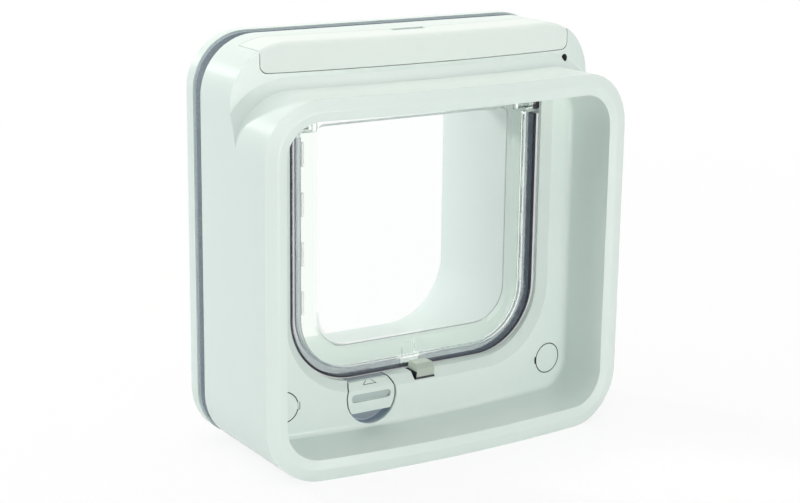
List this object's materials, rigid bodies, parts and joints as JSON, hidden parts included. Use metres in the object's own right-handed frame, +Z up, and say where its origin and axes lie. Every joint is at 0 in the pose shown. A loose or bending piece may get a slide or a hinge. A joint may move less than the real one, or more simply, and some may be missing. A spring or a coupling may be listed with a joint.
{
  "type": "cat flap",
  "caption": "Square cat flap with a tag reader: hooded housing, clear top-hung flap, rotary lock, latch, battery cover, tunnel and clamp frame.",
  "frame": {"origin": "under the middle of the whole part, on the plane that the housing and the clamp frame both reach down to", "axes": "+X to the right seen from the room, +Y through the door to the far side, +Z up"},
  "size_m": [0.21, 0.1356, 0.21],
  "materials": {
    "front_housing": "gloss white",
    "rear_frame": "gloss white",
    "frame_seal": "closed-cell foam",
    "tunnel": "satin white",
    "battery_cover": "gloss white",
    "status_lens": "black window",
    "flap_panel": "clear plastic",
    "flap_edging": "soft grey edging",
    "opening_seal": "black pile strip",
    "hinge_pins": "bright steel",
    "hinge_bushes": "natural plastic",
    "lock_dial": "gloss white",
    "lock_cam": "satin white",
    "cam_screw": "zinc plated",
    "latch": "grey-green plastic",
    "latch_plunger": "soft iron",
    "latch_solenoid": "taped coil in an iron yoke",
    "screw_covers": "gloss white",
    "antenna_coil": "enamelled copper wire",
    "control_board": "green solder mask",
    "board_chips": "black moulding",
    "board_screws": "zinc plated",
    "learn_button": "black plastic",
    "battery_tray": "satin white",
    "battery_cells": "plain sleeve",
    "battery_contacts": "nickel plated",
    "housing_screws": "zinc plated",
    "clamp_screws": "zinc plated"
  },
  "bodies": {
    "housing": {"front_housing": "front_housing", "rear_frame": "rear_frame", "frame_seal": "frame_seal", "tunnel": "tunnel", "status_lens": "status_lens", "opening_seal": "opening_seal", "hinge_bushes": "hinge_bushes", "latch_solenoid": "latch_solenoid", "screw_covers": "screw_covers", "antenna_coil": "antenna_coil", "control_board": "control_board", "board_chips": "board_chips", "board_screws": "board_screws", "battery_tray": "battery_tray", "battery_cells": "battery_cells", "battery_contacts": "battery_contacts", "housing_screws": "housing_screws", "clamp_screws": "clamp_screws"},
    "flap": {"flap_panel": "flap_panel", "flap_edging": "flap_edging", "hinge_pins": "hinge_pins"},
    "lock": {"lock_dial": "lock_dial", "lock_cam": "lock_cam", "cam_screw": "cam_screw"},
    "latch_bar": {"latch": "latch", "latch_plunger": "latch_plunger"},
    "cover": {"battery_cover": "battery_cover"},
    "button": {"learn_button": "learn_button"}
  },
  "joints": [
    {"name": "flap_swing", "type": "hinge", "parent": "housing", "child": "flap", "pos_m": [0, -0.0208, 0.16696], "axis": [1, 0, 0], "range_deg": [-80, 80]},
    {"name": "lock_turn", "type": "hinge", "parent": "housing", "child": "lock", "pos_m": [-0.032, -0.0278, 0.0273], "axis": [0, 1, 0], "range_deg": [-90, 180]},
    {"name": "latch_slide", "type": "slide", "parent": "housing", "child": "latch_bar", "axis": [0, 0, 1], "range_m": [0, 0.004]},
    {"name": "cover_lift", "type": "slide", "parent": "housing", "child": "cover", "axis": [0, 0, 1], "range_m": [0, 0.025]},
    {"name": "button_press", "type": "slide", "parent": "housing", "child": "button", "axis": [0, 1, 0], "range_m": [0, 0.0008], "stiffness_N_per_m": 600}
  ]
}
